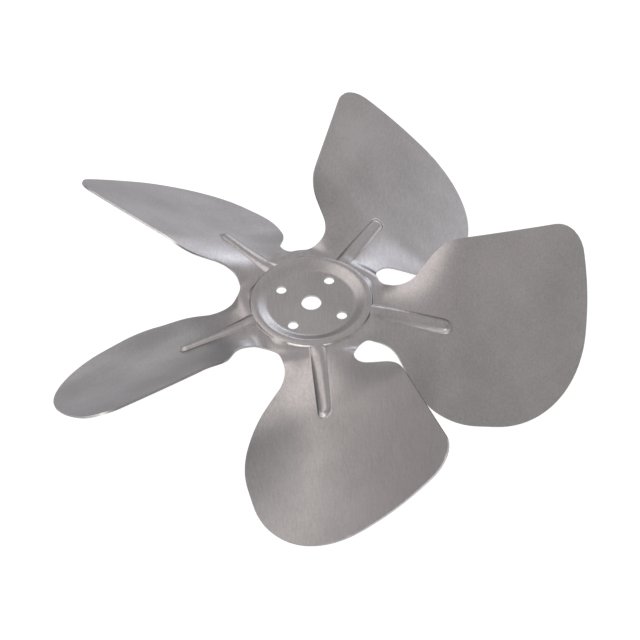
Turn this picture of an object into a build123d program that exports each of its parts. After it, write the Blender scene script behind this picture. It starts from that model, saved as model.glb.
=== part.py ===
"""Axial fan impeller: five pitched blades pressed from one round of aluminium sheet.

Millimetres. The origin is the centre of the shaft bore on the hub's upper face, +Z is the axis
of rotation, and one bolt hole and one blade's rib point along +Y. Each blade is drawn along +X,
with its low edge at -Y and its raised edge at +Y, and then turned to its place.
"""
from build123d import *
from math import asin, atan2, cos, degrees, pi, radians, sin, sqrt, tan
import os

# Sheet and blades
SHEET = 0.8
BLADES = 5
FIRST_BLADE_ANGLE = 90.0

# Hub: flat disc with a shaft bore and four bolt holes, inside a pressed ring
BORE_DIAMETER = 7.4
BOLT_CIRCLE = 25.8
BOLT_HOLES = 4
BOLT_HOLE_DIAMETER = 3.9
DISC_RADIUS = 16.4
RING_CREST_RADIUS = 19.9
RING_HEIGHT = 1.8
RING_SHOULDER_RADIUS = 22.2
RING_SHOULDER_DROP = 0.25
RING_FOOT_WIDTH = 0.6
RING_FOOT_WALL = SHEET * 0.4

# Necks, and the round notches that part them
NECK_LEVEL = 0.75
NOTCH_RADIUS = 8.9
NOTCH_CENTRE_RADIUS = 36.1

# Blade surface: flat at the bend line, twisting to full pitch, then on to the tip
BEND_START = 22.3
FULL_PITCH_RADIUS = 52.4
TIP_RADIUS = 100.0
ROOT_PITCH_ANGLE = 32.0
TIP_PITCH_ANGLE = 35.0
DROOP_ANGLE = 6.2
CAMBER_RADIUS = 175.0
SHEET_HALF_WIDTH = 46.0
NECK_END = 31.0
NECK_BAYS = 3
BLADE_END = TIP_RADIUS + 3.0
BLADE_BAYS = 9

# Blade outline in plan: the corners of its straight edges, and each corner's radius
LOW_SIDE = (TIP_RADIUS * 0.51, TIP_RADIUS * -0.319)
LOW_SIDE_RADIUS = TIP_RADIUS * 0.28
LOW_TIP = (TIP_RADIUS * 1.026, TIP_RADIUS * -0.215)
LOW_TIP_RADIUS = TIP_RADIUS * 0.33
TIP = (TIP_RADIUS * 0.985, TIP_RADIUS * 0.19)
TIP_EDGE_RADIUS = TIP_RADIUS * 0.71
RAISED_TIP = (TIP_RADIUS * 0.92, TIP_RADIUS * 0.381)
RAISED_TIP_RADIUS = TIP_RADIUS * 0.1
RAISED_SHOULDER = (NOTCH_CENTRE_RADIUS * 1.183, NOTCH_CENTRE_RADIUS * 0.695)
RAISED_SHOULDER_RADIUS = 15.0

# Ribs: one hollow bead pressed up along each neck, from the ring into the blade
RIB_WIDTH = 5.2
RIB_CROWN_WIDTH = 2.6
RIB_ROOT_HEIGHT = 0.7
RIB_TIP_HEIGHT = 1.5
RIB_NOSE_CENTRE = 49.4
RIB_BAYS = 5
NOSE_TURNS = (0, 40, 80)

# How far the hollows under the ring and ribs are cut down past the sheet's middle
HOLLOW_DEPTH = SHEET * 1.5


def pitch_at(x):
    """Pitch in degrees at a distance x from the axis."""
    neck = min(max((x - BEND_START) / (FULL_PITCH_RADIUS - BEND_START), 0), 1)
    blade = max((x - FULL_PITCH_RADIUS) / (TIP_RADIUS - FULL_PITCH_RADIUS), 0)
    return ROOT_PITCH_ANGLE * sin(neck * pi / 2) + (TIP_PITCH_ANGLE - ROOT_PITCH_ANGLE) * blade


def level_at(x):
    """Height of the blade's upper face over its centreline."""
    return NECK_LEVEL - max(x - BEND_START, 0) * tan(radians(DROOP_ANGLE))


def camber_at(x):
    """Rise of the curved face over its tangent, per square of the width."""
    return sin(radians(90 * pitch_at(x) / ROOT_PITCH_ANGLE)) / (2 * CAMBER_RADIUS) if x > BEND_START else 0


def blade_section(x):
    """Cut through a blade's sheet at x, a thin curved strip in a plane square to X."""
    slope = tan(radians(pitch_at(x)))
    drop = SHEET * sqrt(1 + slope**2)

    def edge_point(y, depth):
        return (x, y, level_at(x) + slope * y + camber_at(x) * y**2 - depth)

    w = SHEET_HALF_WIDTH
    upper = Spline(edge_point(-w, 0), edge_point(0, 0), edge_point(w, 0))
    lower = Spline(edge_point(w, drop), edge_point(0, drop), edge_point(-w, drop))
    ends = [Line(upper @ 1, lower @ 0), Line(lower @ 1, upper @ 0)]
    return make_face([upper, ends[0], lower, ends[1]])


def spaced(start, end, bays):
    """Evenly spaced stations from start to end."""
    return [start + (end - start) * i / bays for i in range(bays + 1)]


def blade_sheet():
    """The twisted, cambered sheet of one blade, wider than its outline."""
    neck = loft([blade_section(x) for x in spaced(BEND_START, NECK_END, NECK_BAYS)], ruled=True)
    blade = loft([blade_section(x) for x in spaced(NECK_END, BLADE_END, BLADE_BAYS)])
    return neck + blade


def notch_centre(side):
    angle = radians(side * 180 / BLADES)
    return Vector(NOTCH_CENTRE_RADIUS * cos(angle), NOTCH_CENTRE_RADIUS * sin(angle))


def notches():
    """The round notches between the blades, in plan."""
    return PolarLocations(NOTCH_CENTRE_RADIUS, BLADES, start_angle=180 / BLADES) * Circle(NOTCH_RADIUS)


def flank_point(corner, side):
    """Where the straight flank from a corner touches the round notch."""
    centre = notch_centre(side)
    reach = Vector(*corner) - centre
    turn = -side * (90 - degrees(asin(NOTCH_RADIUS / reach.length)))
    return centre + reach.normalized().rotate(Axis.Z, turn) * NOTCH_RADIUS


def blade_outline():
    """One blade and its share of the hub in plan, as an upright prism."""
    low, high = flank_point(LOW_SIDE, -1), flank_point(RAISED_SHOULDER, 1)
    edge = FilletPolyline(
        [low, LOW_SIDE, LOW_TIP, TIP, RAISED_TIP, RAISED_SHOULDER, high],
        radius=[LOW_SIDE_RADIUS, LOW_TIP_RADIUS, TIP_EDGE_RADIUS, RAISED_TIP_RADIUS, RAISED_SHOULDER_RADIUS],
    )
    root = Polyline(high, notch_centre(1), (0, 0), notch_centre(-1), low)
    plan = make_face([edge, root]) - notches()
    return extrude(plan, SHEET_HALF_WIDTH, both=True)


def blade():
    return blade_sheet() & blade_outline()


def rib_section(x, inset, turn=0.0):
    """Cut through a rib at x; the inset gives its hollow side, the turn is the angle round the nose."""
    share = min(max((x - RING_SHOULDER_RADIUS) / (RIB_NOSE_CENTRE - RING_SHOULDER_RADIUS), 0), 1)
    height = RIB_ROOT_HEIGHT + (RIB_TIP_HEIGHT - RIB_ROOT_HEIGHT) * share
    run = (RIB_WIDTH - RIB_CROWN_WIDTH) / 2
    crown = (RIB_CROWN_WIDTH / 2 - inset * tan(atan2(height, run) / 2)) * cos(radians(turn))
    sunk = max(RIB_WIDTH / 2 * sin(radians(turn)) - RIB_CROWN_WIDTH / 2, 0) / run
    top = height * (1 - sunk) - inset
    base = -SHEET / 2 - (HOLLOW_DEPTH if inset else 0)
    foot = crown + (top - base) * run / height
    corners = [(-foot, base), (-crown, top), (crown, top), (foot, base)]
    pitch = radians(pitch_at(x))
    plane = Plane((x, 0, level_at(x)), x_dir=(0, cos(pitch), sin(pitch)), z_dir=(1, 0, 0))
    return plane * make_face(Polyline(*corners, close=True))


def rib(inset):
    """The solid under a rib's upper face, or with an inset, the hollow below it."""
    stem = loft([rib_section(x, inset) for x in spaced(RING_CREST_RADIUS, RIB_NOSE_CENTRE, RIB_BAYS)])
    reach = RIB_WIDTH / 2 - inset / 2
    nose = [rib_section(RIB_NOSE_CENTRE + reach * sin(radians(turn)), inset, turn) for turn in NOSE_TURNS]
    return stem + loft(nose, ruled=True)


def ring(inset):
    """The solid under the ring's upper face, or with an inset, the groove below it."""
    wall, depth = (RING_FOOT_WALL, HOLLOW_DEPTH) if inset else (0, 0)
    start = Vector(DISC_RADIUS, -inset)
    crest = Vector(RING_CREST_RADIUS, RING_HEIGHT - inset)
    shoulder = Vector(RING_SHOULDER_RADIUS - wall, RING_HEIGHT - RING_SHOULDER_DROP - inset)
    foot = Vector(RING_SHOULDER_RADIUS + RING_FOOT_WIDTH - wall, NECK_LEVEL - SHEET / 2 - depth)
    rise = Spline(start, crest, tangents=[(1, 0), (1, 0)])
    base = Vector(DISC_RADIUS, -SHEET - depth)
    edges = [rise, Polyline(crest, shoulder, foot, base, start)]
    return revolve(Plane.XZ * make_face(edges), Axis.Z)


def around(shape, count, start=0.0):
    """Copies of a shape spaced evenly about the axis."""
    return [Rot(0, 0, start + i * 360 / count) * shape for i in range(count)]


def impeller():
    disc = Pos(0, 0, -SHEET / 2) * Cylinder(DISC_RADIUS + SHEET, SHEET)
    flange = RegularPolygon(BEND_START, BLADES, major_radius=False, rotation=180 / BLADES)
    flange -= [Circle(RING_CREST_RADIUS)] + notches()
    flange = Pos(0, 0, NECK_LEVEL - SHEET) * extrude(flange, SHEET)
    wheel = flange + around(blade(), BLADES)
    wheel += [disc, ring(0)] + around(rib(0), BLADES)
    wheel -= ring(SHEET)
    wheel -= around(rib(SHEET), BLADES)
    wheel -= Cylinder(BORE_DIAMETER / 2, 4 * SHEET)
    bolt_hole = Pos(BOLT_CIRCLE / 2, 0, 0) * Cylinder(BOLT_HOLE_DIAMETER / 2, 4 * SHEET)
    wheel -= around(bolt_hole, BOLT_HOLES)
    return Rot(0, 0, FIRST_BLADE_ANGLE) * wheel


os.makedirs("parts", exist_ok=True)
export_step(impeller(), "parts/impeller.step")
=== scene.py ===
"""Looks of the axial fan impeller: one pressed aluminium sheet on a pale studio floor.

The helpers work in millimetres and the scene is in metres. As in the CAD, each blade is drawn along
+X with its low edge at -Y and its raised edge at +Y, and is then turned to its place.
"""
from math import pi, radians

import bmesh
import bpy
import numpy as np
from mathutils import Matrix, Vector
from mathutils.geometry import delaunay_2d_cdt

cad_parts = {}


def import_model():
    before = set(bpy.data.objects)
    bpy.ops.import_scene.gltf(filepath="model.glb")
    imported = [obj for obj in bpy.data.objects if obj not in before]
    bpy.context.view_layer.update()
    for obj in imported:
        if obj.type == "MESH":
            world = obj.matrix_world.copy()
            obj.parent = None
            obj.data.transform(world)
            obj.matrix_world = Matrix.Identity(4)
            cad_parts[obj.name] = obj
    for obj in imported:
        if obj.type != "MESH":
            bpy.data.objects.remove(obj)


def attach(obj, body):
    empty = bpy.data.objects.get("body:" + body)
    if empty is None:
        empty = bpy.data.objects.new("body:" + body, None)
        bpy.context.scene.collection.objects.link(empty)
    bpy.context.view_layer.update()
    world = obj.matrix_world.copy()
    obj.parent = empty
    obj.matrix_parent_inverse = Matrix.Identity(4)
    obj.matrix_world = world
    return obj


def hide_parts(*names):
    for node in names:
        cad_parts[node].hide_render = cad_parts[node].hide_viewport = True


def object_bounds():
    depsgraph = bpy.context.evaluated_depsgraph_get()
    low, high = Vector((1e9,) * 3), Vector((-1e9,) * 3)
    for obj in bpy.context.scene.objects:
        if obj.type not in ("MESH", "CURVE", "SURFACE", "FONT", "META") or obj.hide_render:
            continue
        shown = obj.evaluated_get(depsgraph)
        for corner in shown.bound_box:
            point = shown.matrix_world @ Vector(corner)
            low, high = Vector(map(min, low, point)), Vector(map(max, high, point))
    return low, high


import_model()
cad_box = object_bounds()

MM = 0.001

# Sheet, hub and ring
SHEET = 0.8
BLADES = 5
FIRST_BLADE_ANGLE = 90.0
BORE_DIAMETER = 7.4
BOLT_CIRCLE = 25.8
BOLT_HOLES = 4
BOLT_HOLE_DIAMETER = 3.9
DISC_RADIUS = 15.2
DISH_START = 16.1
DISH_SOFTNESS = 0.2
RING_CREST_RADIUS = 20.0
RING_HEIGHT = 1.8
RING_SHOULDER_RADIUS = 22.2
RING_SHOULDER_DROP = 0.25
RING_FOOT_WIDTH = 0.5
RING_FOOT_SOFTNESS = 0.18
# The foot widens by this towards the seams between blades, from this share of the way to them
RING_FADE_WIDTH = 1.1
RING_FADE_START = 0.7
NECK_LEVEL = 0.75
NOTCH_RADIUS = 8.9
NOTCH_CENTRE_RADIUS = 36.1
NOTCH_LIP_WIDTH = 4.5
NOTCH_LIP_DROP = 0.45
NOTCH_LIP_REACH = NOTCH_RADIUS * 0.8

# Blade surface
BEND_START = 22.0
BEND_EASE = 5.0
FULL_PITCH_RADIUS = 52.4
TIP_RADIUS = 100.0
ROOT_PITCH_ANGLE = 32.0
TIP_PITCH_ANGLE = 35.0
DROOP_ANGLE = 6.2
CAMBER_RADIUS = 175.0

# Blade outline in plan: corners and their radii
LOW_SIDE = (TIP_RADIUS * 0.51, TIP_RADIUS * -0.319)
LOW_SIDE_RADIUS = TIP_RADIUS * 0.28
LOW_TIP = (TIP_RADIUS * 1.026, TIP_RADIUS * -0.215)
LOW_TIP_RADIUS = TIP_RADIUS * 0.33
TIP = (TIP_RADIUS * 0.985, TIP_RADIUS * 0.19)
TIP_EDGE_RADIUS = TIP_RADIUS * 0.71
RAISED_TIP = (TIP_RADIUS * 0.92, TIP_RADIUS * 0.381)
RAISED_TIP_RADIUS = TIP_RADIUS * 0.1
RAISED_SHOULDER = (NOTCH_CENTRE_RADIUS * 1.183, NOTCH_CENTRE_RADIUS * 0.695)
RAISED_SHOULDER_RADIUS = 15.0

# Ribs
RIB_WIDTH = 5.6
RIB_ROUNDNESS = 2.4
RIB_ROOT_HEIGHT = 0.8
RIB_TIP_HEIGHT = 1.5
RIB_NOSE_CENTRE = 49.2
RIB_SOFTNESS = 0.12
RIB_ROOT_EASE = 1.5

# Mesh of one blade: columns across it and rows along it, close together at the creases
RIB_BAND = 4.6
BAND_STATIONS = (-RIB_BAND, -3.3, -2.2, 2.2, 3.3, RIB_BAND)
BAND_COLUMNS = (3, 8, 12, 8, 3)
PULL_FADE = 8.0
PULL_END = FULL_PITCH_RADIUS + 0.6 * (TIP_RADIUS - FULL_PITCH_RADIUS)
SIDE_COLUMNS = 16
HUB_STATIONS = (DISC_RADIUS, 16.6, 19.2, 21.9, 23.0, NOTCH_CENTRE_RADIUS - NOTCH_RADIUS)
HUB_ROWS = (5, 6, 9, 11, 8)
BLADE_STATIONS = (0, 0.36, 1)
BLADE_ROWS = (56, 34)
CORNER_STEPS = 24
NOTCH_STEPS = 40
EDGE_STEPS = 4000
BOLT_HOLE_STEPS = 48
BORE_STEPS = 72
SLOPE_STEP = 0.02
MERGE_DISTANCE = 0.02
FILL_TOLERANCE = 1e-5

# Rounding of the sheet's edges
EDGE_ROUNDING = 0.18
EDGE_SEGMENTS = 3
SHARP_ANGLE = 50.0


def soft_ramp(u, soft):
    """0 below 0, rising one for one and 1 above 1, with both corners rounded."""
    def knee(v):
        return np.where(v > soft, v, np.where(v < -soft, 0, (v + soft) ** 2 / (4 * soft)))
    return knee(u) - knee(u - 1)


def smooth_step(u):
    """0 below 0 and 1 above 1, with a level start and end."""
    u = np.clip(u, 0, 1)
    return u * u * (3 - 2 * u)


def blade_height(x, y):
    """Height of the blade's upper face, without its rib."""
    bent = (x - BEND_START) * smooth_step((x - BEND_START) / BEND_EASE)
    neck = np.clip(bent / (FULL_PITCH_RADIUS - BEND_START), 0, 1)
    share = np.sin(neck * pi / 2)
    beyond = np.maximum((x - FULL_PITCH_RADIUS) / (TIP_RADIUS - FULL_PITCH_RADIUS), 0)
    pitch = ROOT_PITCH_ANGLE * share + (TIP_PITCH_ANGLE - ROOT_PITCH_ANGLE) * beyond
    droop = bent * np.tan(np.radians(DROOP_ANGLE))
    camber = np.sin(np.minimum(pitch / ROOT_PITCH_ANGLE, 1) * pi / 2) / (2 * CAMBER_RADIUS)
    return NECK_LEVEL - droop + np.tan(np.radians(pitch)) * y + camber * y**2


def ring_lift(x, y):
    """Height of the hub and ring over the necks' level."""
    r = np.hypot(x, y)
    dish = soft_ramp((r - DISH_START) / (RING_CREST_RADIUS - DISH_START), DISH_SOFTNESS)
    band = np.clip((r - RING_CREST_RADIUS) / (RING_SHOULDER_RADIUS - RING_CREST_RADIUS), 0, 1)
    top = RING_HEIGHT * dish - RING_SHOULDER_DROP * band**2
    turn = np.abs(np.arctan2(y, x)) / (pi / BLADES)
    fade = smooth_step((turn - RING_FADE_START) / (1 - RING_FADE_START))
    width = RING_FOOT_WIDTH + RING_FADE_WIDTH * fade
    foot = soft_ramp((r - RING_SHOULDER_RADIUS) / width, RING_FOOT_SOFTNESS)
    return (top - NECK_LEVEL) * (1 - foot)


def notch_drop(x, y):
    """Fall of the sheet's lip at the hub side of the notches."""
    centre = notch_centre(1)
    past = np.hypot(x - centre[0], np.abs(y) - centre[1])
    share = np.clip(1 - (past - NOTCH_RADIUS) / NOTCH_LIP_WIDTH, 0, 1)
    hub_side = smooth_step((NOTCH_CENTRE_RADIUS - np.hypot(x, y)) / NOTCH_LIP_REACH)
    return NOTCH_LIP_DROP * share**2 * hub_side


def blade_slopes(x, y):
    """Slopes of the blade's upper face along and across it."""
    along = blade_height(x + SLOPE_STEP, y) - blade_height(x - SLOPE_STEP, y)
    across = blade_height(x, y + SLOPE_STEP) - blade_height(x, y - SLOPE_STEP)
    return along / (2 * SLOPE_STEP), across / (2 * SLOPE_STEP)


def stretch(x):
    """Width of the sheet's middle for each unit of its width in plan."""
    return np.sqrt(1 + blade_slopes(x, 0)[1] ** 2)


def rib_lift(x, y):
    """Height of the rib over the blade, measured square to it."""
    across = y * stretch(x)
    distance = np.hypot(across, np.maximum(x - RIB_NOSE_CENTRE, 0))
    along = np.clip((x - RING_SHOULDER_RADIUS) / (RIB_NOSE_CENTRE - RING_SHOULDER_RADIUS), 0, 1)
    height = RIB_ROOT_HEIGHT + (RIB_TIP_HEIGHT - RIB_ROOT_HEIGHT) * along
    dome = 1 - (distance / (RIB_WIDTH / 2)) ** RIB_ROUNDNESS
    return height * soft_ramp(dome, RIB_SOFTNESS)


def lifted(x, y):
    """Points on the upper face of the sheet for places in plan."""
    z = blade_height(x, y)
    slope_x, slope_y = blade_slopes(x, y)
    ring = ring_lift(x, y)
    rib = rib_lift(x, y)
    outside = smooth_step((np.hypot(x, y) - RING_CREST_RADIUS) / RIB_ROOT_EASE)
    lift = np.where(outside > 0, np.maximum(ring, rib * outside), ring)
    lift = lift - notch_drop(x, y)
    length = np.sqrt(1 + slope_x**2 + slope_y**2)
    normal = np.stack([-slope_x, -slope_y, np.ones_like(z)], -1) / length[..., None]
    return np.stack([x, y, z], -1) + normal * lift[..., None]


def arc(centre, radius, start, end, count):
    """Points along an arc, its ends among them."""
    angles = np.linspace(start, end, count)
    return centre + radius * np.stack([np.cos(angles), np.sin(angles)], -1)


def rounded_corner(before, corner, after, radius):
    """The arc that rounds a corner."""
    into = (before - corner) / np.linalg.norm(before - corner)
    out = (after - corner) / np.linalg.norm(after - corner)
    half = np.arccos(into @ out) / 2
    middle = (into + out) / np.linalg.norm(into + out)
    centre = corner + middle * radius / np.sin(half)
    start = corner + into * radius / np.tan(half) - centre
    end = corner + out * radius / np.tan(half) - centre
    first, last = np.arctan2(start[1], start[0]), np.arctan2(end[1], end[0])
    turn = (last - first + pi) % (2 * pi) - pi
    return arc(centre, radius, first, first + turn, CORNER_STEPS)


def notch_centre(side):
    """Centre of the notch beside the blade in plan, at its low side for -1 and its raised side for 1."""
    angle = side * pi / BLADES
    return NOTCH_CENTRE_RADIUS * np.array([np.cos(angle), np.sin(angle)])


def notch_arc(corner, side):
    """The notch's edge from its point nearest the axis to where the flank leaves it."""
    centre = notch_centre(side)
    reach = corner - centre
    lean = np.arccos(NOTCH_RADIUS / np.linalg.norm(reach))
    end = np.arctan2(reach[1], reach[0]) - side * lean
    start = np.arctan2(-centre[1], -centre[0])
    turn = (end - start) % (2 * pi) if side > 0 else -((start - end) % (2 * pi))
    return arc(centre, NOTCH_RADIUS, start, start + turn, NOTCH_STEPS)


def blade_edges():
    """The blade's edge in plan, from the low side's notch round the tip to the raised side's."""
    corners = [np.array(p) for p in (LOW_SIDE, LOW_TIP, TIP, RAISED_TIP, RAISED_SHOULDER)]
    low = notch_arc(corners[0], -1)
    high = notch_arc(corners[-1], 1)
    path = [low[-1]] + corners + [high[-1]]
    radii = (LOW_SIDE_RADIUS, LOW_TIP_RADIUS, TIP_EDGE_RADIUS, RAISED_TIP_RADIUS, RAISED_SHOULDER_RADIUS)
    bends = [rounded_corner(*path[i:i + 3], radius) for i, radius in enumerate(radii)]
    return np.vstack([low] + bends + [high[::-1]])


def walk(path, shares):
    """Points at shares of a path's length."""
    steps = np.linalg.norm(np.diff(path, axis=0), axis=1)
    lengths = np.concatenate([[0], np.cumsum(steps)])
    at = np.asarray(shares) * lengths[-1]
    return np.stack([np.interp(at, lengths, path[:, k]) for k in (0, 1)], -1)


def coons(near, far, start, end, rows, columns):
    """Grid between two long edges, near and far, and the two short edges that join them."""
    s, t = np.asarray(rows)[:, None, None], np.asarray(columns)[None, :, None]
    long_edges = (1 - t) * walk(near, rows)[:, None] + t * walk(far, rows)[:, None]
    short_edges = (1 - s) * walk(start, columns)[None] + s * walk(end, columns)[None]
    corners = ((1 - s) * (1 - t) * near[0] + (1 - s) * t * far[0]
               + s * (1 - t) * near[-1] + s * t * far[-1])
    return long_edges + short_edges - corners


def spread(stations, counts):
    """Places from the first station to the last, with a count of even steps between neighbours."""
    steps = [np.linspace(a, b, n + 1)[1:] for a, b, n in zip(stations, stations[1:], counts)]
    return np.concatenate([[stations[0]]] + steps)


def blade_plan():
    """Grid of places in plan for one blade and its share of the ring: rows outward, columns across."""
    band = spread(BAND_STATIONS, BAND_COLUMNS)
    band_turns = np.arcsin(band / HUB_STATIONS[-1])
    columns = np.linspace(0, 1, SIDE_COLUMNS + 1)
    side_turns = (band_turns[-1] + (pi / BLADES - band_turns[-1]) * columns)[1:]
    turns = np.concatenate([-side_turns[::-1], band_turns, side_turns])
    radii = spread(HUB_STATIONS, HUB_ROWS)
    hub = radii[:, None, None] * np.stack([np.cos(turns), np.sin(turns)], -1)[None]

    edge = walk(blade_edges(), np.linspace(0, 1, EDGE_STEPS + 1))
    low_corner = np.argmin(np.linalg.norm(edge - np.array(LOW_TIP), axis=1))
    high_corner = np.argmin(np.linalg.norm(edge - np.array(RAISED_TIP), axis=1))
    tip = edge[low_corner:high_corner + 1]
    cut_low, cut_high = (np.argmin(np.abs(tip[:, 1] - y)) for y in (-RIB_BAND, RIB_BAND))
    tip_low, tip_mid, tip_high = tip[:cut_low + 1], tip[cut_low:cut_high + 1], tip[cut_high:]

    rows = spread(BLADE_STATIONS, BLADE_ROWS)
    root = hub[-1]
    first, last = SIDE_COLUMNS, SIDE_COLUMNS + sum(BAND_COLUMNS)
    low_line = np.array([root[first], tip_mid[0]])
    high_line = np.array([root[last], tip_mid[-1]])
    low = coons(low_line, edge[:low_corner + 1], root[first::-1], tip_low[::-1], rows, columns)
    high = coons(high_line, edge[high_corner:][::-1], root[last:], tip_high, rows, columns)
    middle_columns = (band + RIB_BAND) / (2 * RIB_BAND)
    middle = coons(low_line, high_line, root[first:last + 1], tip_mid, rows, middle_columns)
    blade = np.concatenate([low[:, :0:-1], middle, high[:, 1:]], axis=1)
    return along_rib(np.concatenate([hub, blade[1:]]))


def along_rib(plan):
    """Draws the columns in beside the rib, so that they run along its foot."""
    x = plan[..., 0]
    y = plan[..., 1]
    near = 1 - smooth_step((np.abs(y) - BAND_STATIONS[-2]) / PULL_FADE)
    before_tip = 1 - smooth_step((x - FULL_PITCH_RADIUS) / (PULL_END - FULL_PITCH_RADIUS))
    pulled = y * (1 - (1 - 1 / stretch(x)) * near * before_tip)
    return np.stack([x, pulled], -1)


def turned(points, degrees):
    """Points turned about the axis."""
    cosine = np.cos(radians(degrees))
    sine = np.sin(radians(degrees))
    out = points.copy()
    out[..., 0] = cosine * points[..., 0] - sine * points[..., 1]
    out[..., 1] = sine * points[..., 0] + cosine * points[..., 1]
    return out


def circle(centre, radius, steps):
    """Points around a circle."""
    return arc(np.array(centre), radius, 0, 2 * pi, steps + 1)[:-1]


def hub_disc(rim):
    """The flat middle of the hub inside a rim of points: bore and bolt holes are left open."""
    bolts = np.radians(FIRST_BLADE_ANGLE + np.arange(BOLT_HOLES) * 360 / BOLT_HOLES)
    centres = BOLT_CIRCLE / 2 * np.stack([np.cos(bolts), np.sin(bolts)], -1)
    holes = [circle(centre, BOLT_HOLE_DIAMETER / 2, BOLT_HOLE_STEPS) for centre in centres]
    holes.append(circle((0, 0), BORE_DIAMETER / 2, BORE_STEPS))
    points = []
    edges = []
    for loop in [rim] + holes:
        first = len(points)
        points += [Vector(p[:2]) for p in loop]
        edges += [(first + i, first + (i + 1) % len(loop)) for i in range(len(loop))]
    verts, _, faces = delaunay_2d_cdt(points, edges, [], 1, FILL_TOLERANCE)[:3]
    flat = np.array([(v.x, v.y) for v in verts])
    keep = []
    for face in faces:
        middle = flat[list(face)].mean(0)
        if all(np.linalg.norm(middle - h.mean(0)) > np.linalg.norm(h[0] - h.mean(0)) for h in holes):
            keep.append(list(face))
    return np.column_stack([flat, np.zeros(len(flat))]), keep


def impeller_mesh():
    """Upper face of the whole pressed sheet."""
    plan = blade_plan()
    blade = lifted(plan[..., 0], plan[..., 1])
    rows, columns = blade.shape[:2]
    quads = [(i * columns + j, (i + 1) * columns + j, (i + 1) * columns + j + 1, i * columns + j + 1)
             for i in range(rows - 1) for j in range(columns - 1)]
    points = []
    faces = []
    for k in range(BLADES):
        first = k * rows * columns
        points.append(turned(blade, FIRST_BLADE_ANGLE + k * 360 / BLADES).reshape(-1, 3))
        faces += [[first + v for v in quad] for quad in quads]
    rim = np.concatenate([p[:columns - 1] for p in points])
    disc, triangles = hub_disc(rim)
    first = BLADES * rows * columns
    points.append(disc)
    faces += [[first + v for v in face] for face in triangles]
    mesh = bpy.data.meshes.new("impeller_sheet")
    mesh.from_pydata((np.concatenate(points) * MM).tolist(), [], faces)
    return mesh


def joined(mesh):
    """The mesh with the seams between neighbours closed, its faces turned up and its shading smooth."""
    work = bmesh.new()
    work.from_mesh(mesh)
    bmesh.ops.remove_doubles(work, verts=work.verts, dist=MERGE_DISTANCE * MM)
    bmesh.ops.recalc_face_normals(work, faces=work.faces)
    if sum(f.normal.z * f.calc_area() for f in work.faces) < 0:
        bmesh.ops.reverse_faces(work, faces=work.faces)
    for face in work.faces:
        face.smooth = True
    work.to_mesh(mesh)
    work.free()
    return mesh


def impeller():
    """The pressed wheel: its upper face, given the sheet's thickness and rounded edges."""
    piece = bpy.data.objects.new("impeller_sheet", joined(impeller_mesh()))
    bpy.context.scene.collection.objects.link(piece)
    piece.data.materials.append(aluminium())
    piece.data.materials.append(edge_painted_highlight())
    solid = piece.modifiers.new("sheet", "SOLIDIFY")
    solid.thickness = SHEET * MM
    solid.offset = -1
    edge = piece.modifiers.new("edge", "BEVEL")
    edge.width = EDGE_ROUNDING * MM
    edge.segments = EDGE_SEGMENTS
    # The bevel's faces take the light edge colour, a painted highlight along the cut edges
    edge.material = piece.data.materials.find("edge_painted_highlight")
    edge.limit_method = "ANGLE"
    edge.angle_limit = radians(SHARP_ANGLE)
    piece.modifiers.new("shading", "WEIGHTED_NORMAL")
    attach(piece, "root")
    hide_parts("impeller")


def node(tree, kind, **values):
    """A shader node with some of its sockets or settings filled in."""
    made = tree.nodes.new(kind)
    for key, value in values.items():
        if key in made.inputs:
            made.inputs[key].default_value = value
        else:
            setattr(made, key, value)
    return made


# Aluminium: colours, and the sizes in millimetres and weights of what varies over the sheet
SHADED_METAL = (0.410, 0.400, 0.403, 1)
LIGHT_METAL = (0.550, 0.537, 0.546, 1)
EDGE_TINT = (0.37, 0.37, 0.385, 1)
METALLIC = 0.94
SATIN_ROUGHNESS = 0.32
ROUGHNESS_SPREAD = 0.03
ROLLING_ANGLE = 32.0
GRAIN_LENGTH = 9.0
GRAIN_WIDTH = 0.5
CLOUD_SIZE = 28.0
SPECKLE_SIZE = 0.8
CLOUD_WEIGHT = 0.50
GRAIN_WEIGHT = 0.30
SPECKLE_WEIGHT = 0.20
TONE_LOW = 0.38
TONE_HIGH = 0.62
NOISE_ROUGHNESS = 0.55
GRAIN_DEPTH = 0.003
# Colour of the rounded cut edges, made light to paint the highlight they catch
PAINTED_EDGE_HIGHLIGHT = (0.84, 0.82, 0.83, 1)
SHEARED_ROUGHNESS = 0.28


def noise(tree, coordinates, size, detail, length=1.0, turn=0.0):
    """Noise with features of a size in millimetres, drawn out to a length in sizes and turned by degrees."""
    place = node(tree, "ShaderNodeMapping", vector_type="TEXTURE")
    place.inputs["Rotation"].default_value = (0, 0, radians(turn))
    place.inputs["Scale"].default_value = (size * MM, size * length * MM, size * MM)
    made = node(tree, "ShaderNodeTexNoise", Scale=1.0, Detail=detail, Roughness=NOISE_ROUGHNESS)
    tree.links.new(coordinates, place.inputs["Vector"])
    tree.links.new(place.outputs["Vector"], made.inputs["Vector"])
    return made.outputs["Fac"]


def weighted(tree, parts):
    """Sum of sockets times weights."""
    total = None
    for socket, weight in parts:
        term = node(tree, "ShaderNodeMath", operation="MULTIPLY_ADD")
        term.inputs[1].default_value = weight
        term.inputs[2].default_value = 0.0
        tree.links.new(socket, term.inputs[0])
        if total is not None:
            tree.links.new(total, term.inputs[2])
        total = term.outputs[0]
    return total


def remapped(tree, socket, low, high, to_low, to_high):
    """A socket's values from low to high, laid out from to_low to to_high."""
    made = node(tree, "ShaderNodeMapRange")
    for key, value in zip(("From Min", "From Max", "To Min", "To Max"), (low, high, to_low, to_high)):
        made.inputs[key].default_value = value
    tree.links.new(socket, made.inputs["Value"])
    return made.outputs["Result"]


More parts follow.
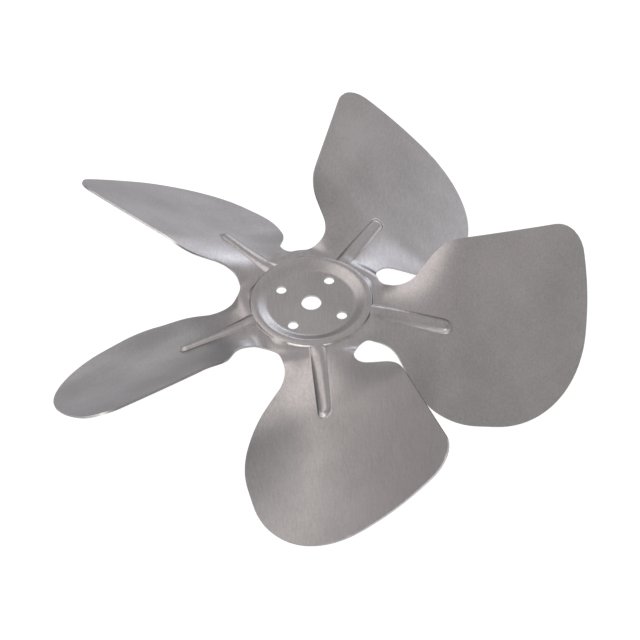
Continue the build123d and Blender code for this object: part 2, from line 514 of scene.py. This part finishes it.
def aluminium():
    """Satin rolled aluminium sheet: fine grain one way, soft clouds and speckles."""
    material = bpy.data.materials.new("aluminium")
    material.use_nodes = True
    tree = material.node_tree
    shader = tree.nodes["Principled BSDF"]
    place = tree.nodes.new("ShaderNodeTexCoord").outputs["Object"]
    drawn_out = GRAIN_LENGTH / GRAIN_WIDTH
    grain = noise(tree, place, GRAIN_WIDTH, detail=3, length=drawn_out, turn=ROLLING_ANGLE)
    clouds = noise(tree, place, CLOUD_SIZE, detail=3)
    speckles = noise(tree, place, SPECKLE_SIZE, detail=1)
    tone = weighted(tree, [(clouds, CLOUD_WEIGHT), (grain, GRAIN_WEIGHT), (speckles, SPECKLE_WEIGHT)])
    mix = node(tree, "ShaderNodeMix", data_type="RGBA")
    colours = [k for k in mix.inputs if k.type == "RGBA"]
    colours[0].default_value = SHADED_METAL
    colours[1].default_value = LIGHT_METAL
    tree.links.new(remapped(tree, tone, TONE_LOW, TONE_HIGH, 0, 1), mix.inputs["Factor"])
    tree.links.new([k for k in mix.outputs if k.type == "RGBA"][0], shader.inputs["Base Color"])
    rough = SATIN_ROUGHNESS + ROUGHNESS_SPREAD
    smooth = SATIN_ROUGHNESS - ROUGHNESS_SPREAD
    tree.links.new(remapped(tree, tone, TONE_LOW, TONE_HIGH, rough, smooth), shader.inputs["Roughness"])
    bump = node(tree, "ShaderNodeBump", Strength=1.0, Distance=GRAIN_DEPTH * MM)
    tree.links.new(grain, bump.inputs["Height"])
    tree.links.new(bump.outputs["Normal"], shader.inputs["Normal"])
    shader.inputs["Metallic"].default_value = METALLIC
    shader.inputs["Specular Tint"].default_value = EDGE_TINT
    return material


def edge_painted_highlight():
    """Light colour on the rounded cut edges: a painted highlight along them."""
    material = bpy.data.materials.new("edge_painted_highlight")
    material.use_nodes = True
    shader = material.node_tree.nodes["Principled BSDF"]
    shader.inputs["Base Color"].default_value = PAINTED_EDGE_HIGHLIGHT
    shader.inputs["Metallic"].default_value = METALLIC
    shader.inputs["Roughness"].default_value = SHEARED_ROUGHNESS
    return material


# Camera: the photograph's viewpoint, in degrees and millimetres, and its clipping in metres
CAMERA_AZIMUTH = 31.62
CAMERA_ELEVATION = 47.50
CAMERA_ROLL = -1.58
CAMERA_DISTANCE = 544.1
AIM_RIGHT = 3.16
AIM_UP = -6.20
FOCAL_LENGTH = 83.48
SENSOR_WIDTH = 36
CLIP_START = 0.01
CLIP_END = 20


def facing(azimuth, elevation):
    """Direction from the impeller, by degrees of azimuth from -Y towards +X and of elevation."""
    a, e = radians(azimuth), radians(elevation)
    return Vector((np.sin(a) * np.cos(e), -np.cos(a) * np.cos(e), np.sin(e)))


def camera():
    """The scene's camera, aimed a little beside the impeller as the photograph is."""
    back = facing(CAMERA_AZIMUTH, CAMERA_ELEVATION)
    level = facing(CAMERA_AZIMUTH + 90, 0)
    roll = radians(CAMERA_ROLL)
    upright = back.cross(level)
    right = level * np.cos(roll) + upright * np.sin(roll)
    up = upright * np.cos(roll) - level * np.sin(roll)
    place = back * CAMERA_DISTANCE + right * AIM_RIGHT + up * AIM_UP - Vector((0, 0, SHEET / 2))
    data = bpy.data.cameras.new("camera")
    data.lens = FOCAL_LENGTH
    data.sensor_width = SENSOR_WIDTH
    data.clip_start = CLIP_START
    data.clip_end = CLIP_END
    made = bpy.data.objects.new("camera", data)
    made.matrix_world = Matrix.Translation(place * MM) @ Matrix((right, up, back)).transposed().to_4x4()
    bpy.context.scene.collection.objects.link(made)
    bpy.context.scene.camera = made


# Soft boxes: name, azimuth from -Y, elevation, width and height in metres, brightness and colour
LAMPS = (
    ("left", -75, 52, 1.8, 1.5, 0.72, (1.06, 0.98, 0.94)),
    ("back", 181, 14, 1.5, 1.0, 0.82, (0.92, 0.97, 1.08)),
    ("rim", -162, 17, 0.9, 0.35, 1.1, (0.94, 0.97, 1.06)),
    ("front left", -12, 14, 1.8, 0.6, 2.0, (1.0, 0.99, 0.97)),
    ("front right", 38, 14, 2.0, 0.5, 2.0, (1.0, 0.99, 0.97)),
)
LAMP_DISTANCE = 1.8


def softbox(name, azimuth, elevation, width, height, brightness, colour):
    """A soft lamp that faces the impeller; its brightness is that of its face, with white at 1."""
    direction = facing(azimuth, elevation)
    data = bpy.data.lights.new(name, "AREA")
    data.shape = "RECTANGLE"
    data.size = width
    data.size_y = height
    data.energy = brightness * pi * width * height
    data.color = colour
    made = bpy.data.objects.new(name, data)
    made.location = direction * LAMP_DISTANCE
    made.rotation_euler = direction.to_track_quat("Z", "Y").to_euler()
    bpy.context.scene.collection.objects.link(made)


# Floor: its glow towards the camera, its reach in metres and its own colour
FLOOR_GLOW = 0.89
FLOOR_REACH = 4.0
FLOOR_GREY = (0.30, 0.30, 0.30, 1)
FLOOR_ROUGHNESS = 0.9


def floor():
    """Pale floor that shows white to the camera and keeps a soft shadow."""
    low = cad_box[0].z
    data = bpy.data.meshes.new("floor")
    corners = [(x * FLOOR_REACH, y * FLOOR_REACH, low) for x, y in ((-1, -1), (1, -1), (1, 1), (-1, 1))]
    data.from_pydata(corners, [], [(0, 1, 2, 3)])
    made = bpy.data.objects.new("floor", data)
    bpy.context.scene.collection.objects.link(made)
    material = bpy.data.materials.new("floor")
    material.use_nodes = True
    tree = material.node_tree
    shader = tree.nodes["Principled BSDF"]
    shader.inputs["Base Color"].default_value = FLOOR_GREY
    shader.inputs["Roughness"].default_value = FLOOR_ROUGHNESS
    shader.inputs["Emission Color"].default_value = (1, 1, 1, 1)
    path = tree.nodes.new("ShaderNodeLightPath")
    seen = node(tree, "ShaderNodeMath", operation="MAXIMUM")
    tree.links.new(path.outputs["Is Camera Ray"], seen.inputs[0])
    tree.links.new(path.outputs["Is Glossy Ray"], seen.inputs[1])
    glow = node(tree, "ShaderNodeMath", operation="MULTIPLY")
    glow.inputs[1].default_value = FLOOR_GLOW
    tree.links.new(seen.outputs[0], glow.inputs[0])
    tree.links.new(glow.outputs[0], shader.inputs["Emission Strength"])
    data.materials.append(material)


STUDIO_COLOUR = (0.545, 0.518, 0.508, 1)
# Darker parts of the studio: azimuth from -Y, elevation, outer and inner radius, and how much is lost
DARK_ZONES = (
    (75, 35, 42, 16, 0.35),
    (-95, 0, 42, 18, 0.40),
)


def world():
    """Even studio light with two darker zones for the metal to reflect."""
    scene = bpy.context.scene
    scene.world = bpy.data.worlds.new("studio")
    scene.world.use_nodes = True
    tree = scene.world.node_tree
    background = tree.nodes["Background"]
    background.inputs["Color"].default_value = STUDIO_COLOUR
    place = tree.nodes.new("ShaderNodeTexCoord").outputs["Generated"]
    level = None
    for azimuth, elevation, outer, inner, loss in DARK_ZONES:
        toward = node(tree, "ShaderNodeVectorMath", operation="DOT_PRODUCT")
        toward.inputs[1].default_value = facing(azimuth, elevation)
        tree.links.new(place, toward.inputs[0])
        low, high = np.cos(np.radians((outer, inner)))
        zone = remapped(tree, toward.outputs["Value"], low, high, 1, 1 - loss)
        product = node(tree, "ShaderNodeMath", operation="MULTIPLY")
        product.inputs[1].default_value = 1.0
        tree.links.new(zone, product.inputs[0])
        if level is not None:
            tree.links.new(level, product.inputs[1])
        level = product.outputs[0]
    tree.links.new(level, background.inputs["Strength"])
    scene.view_settings.view_transform = "Standard"


impeller()
camera()
floor()
world()
for lamp in LAMPS:
    softbox(*lamp)
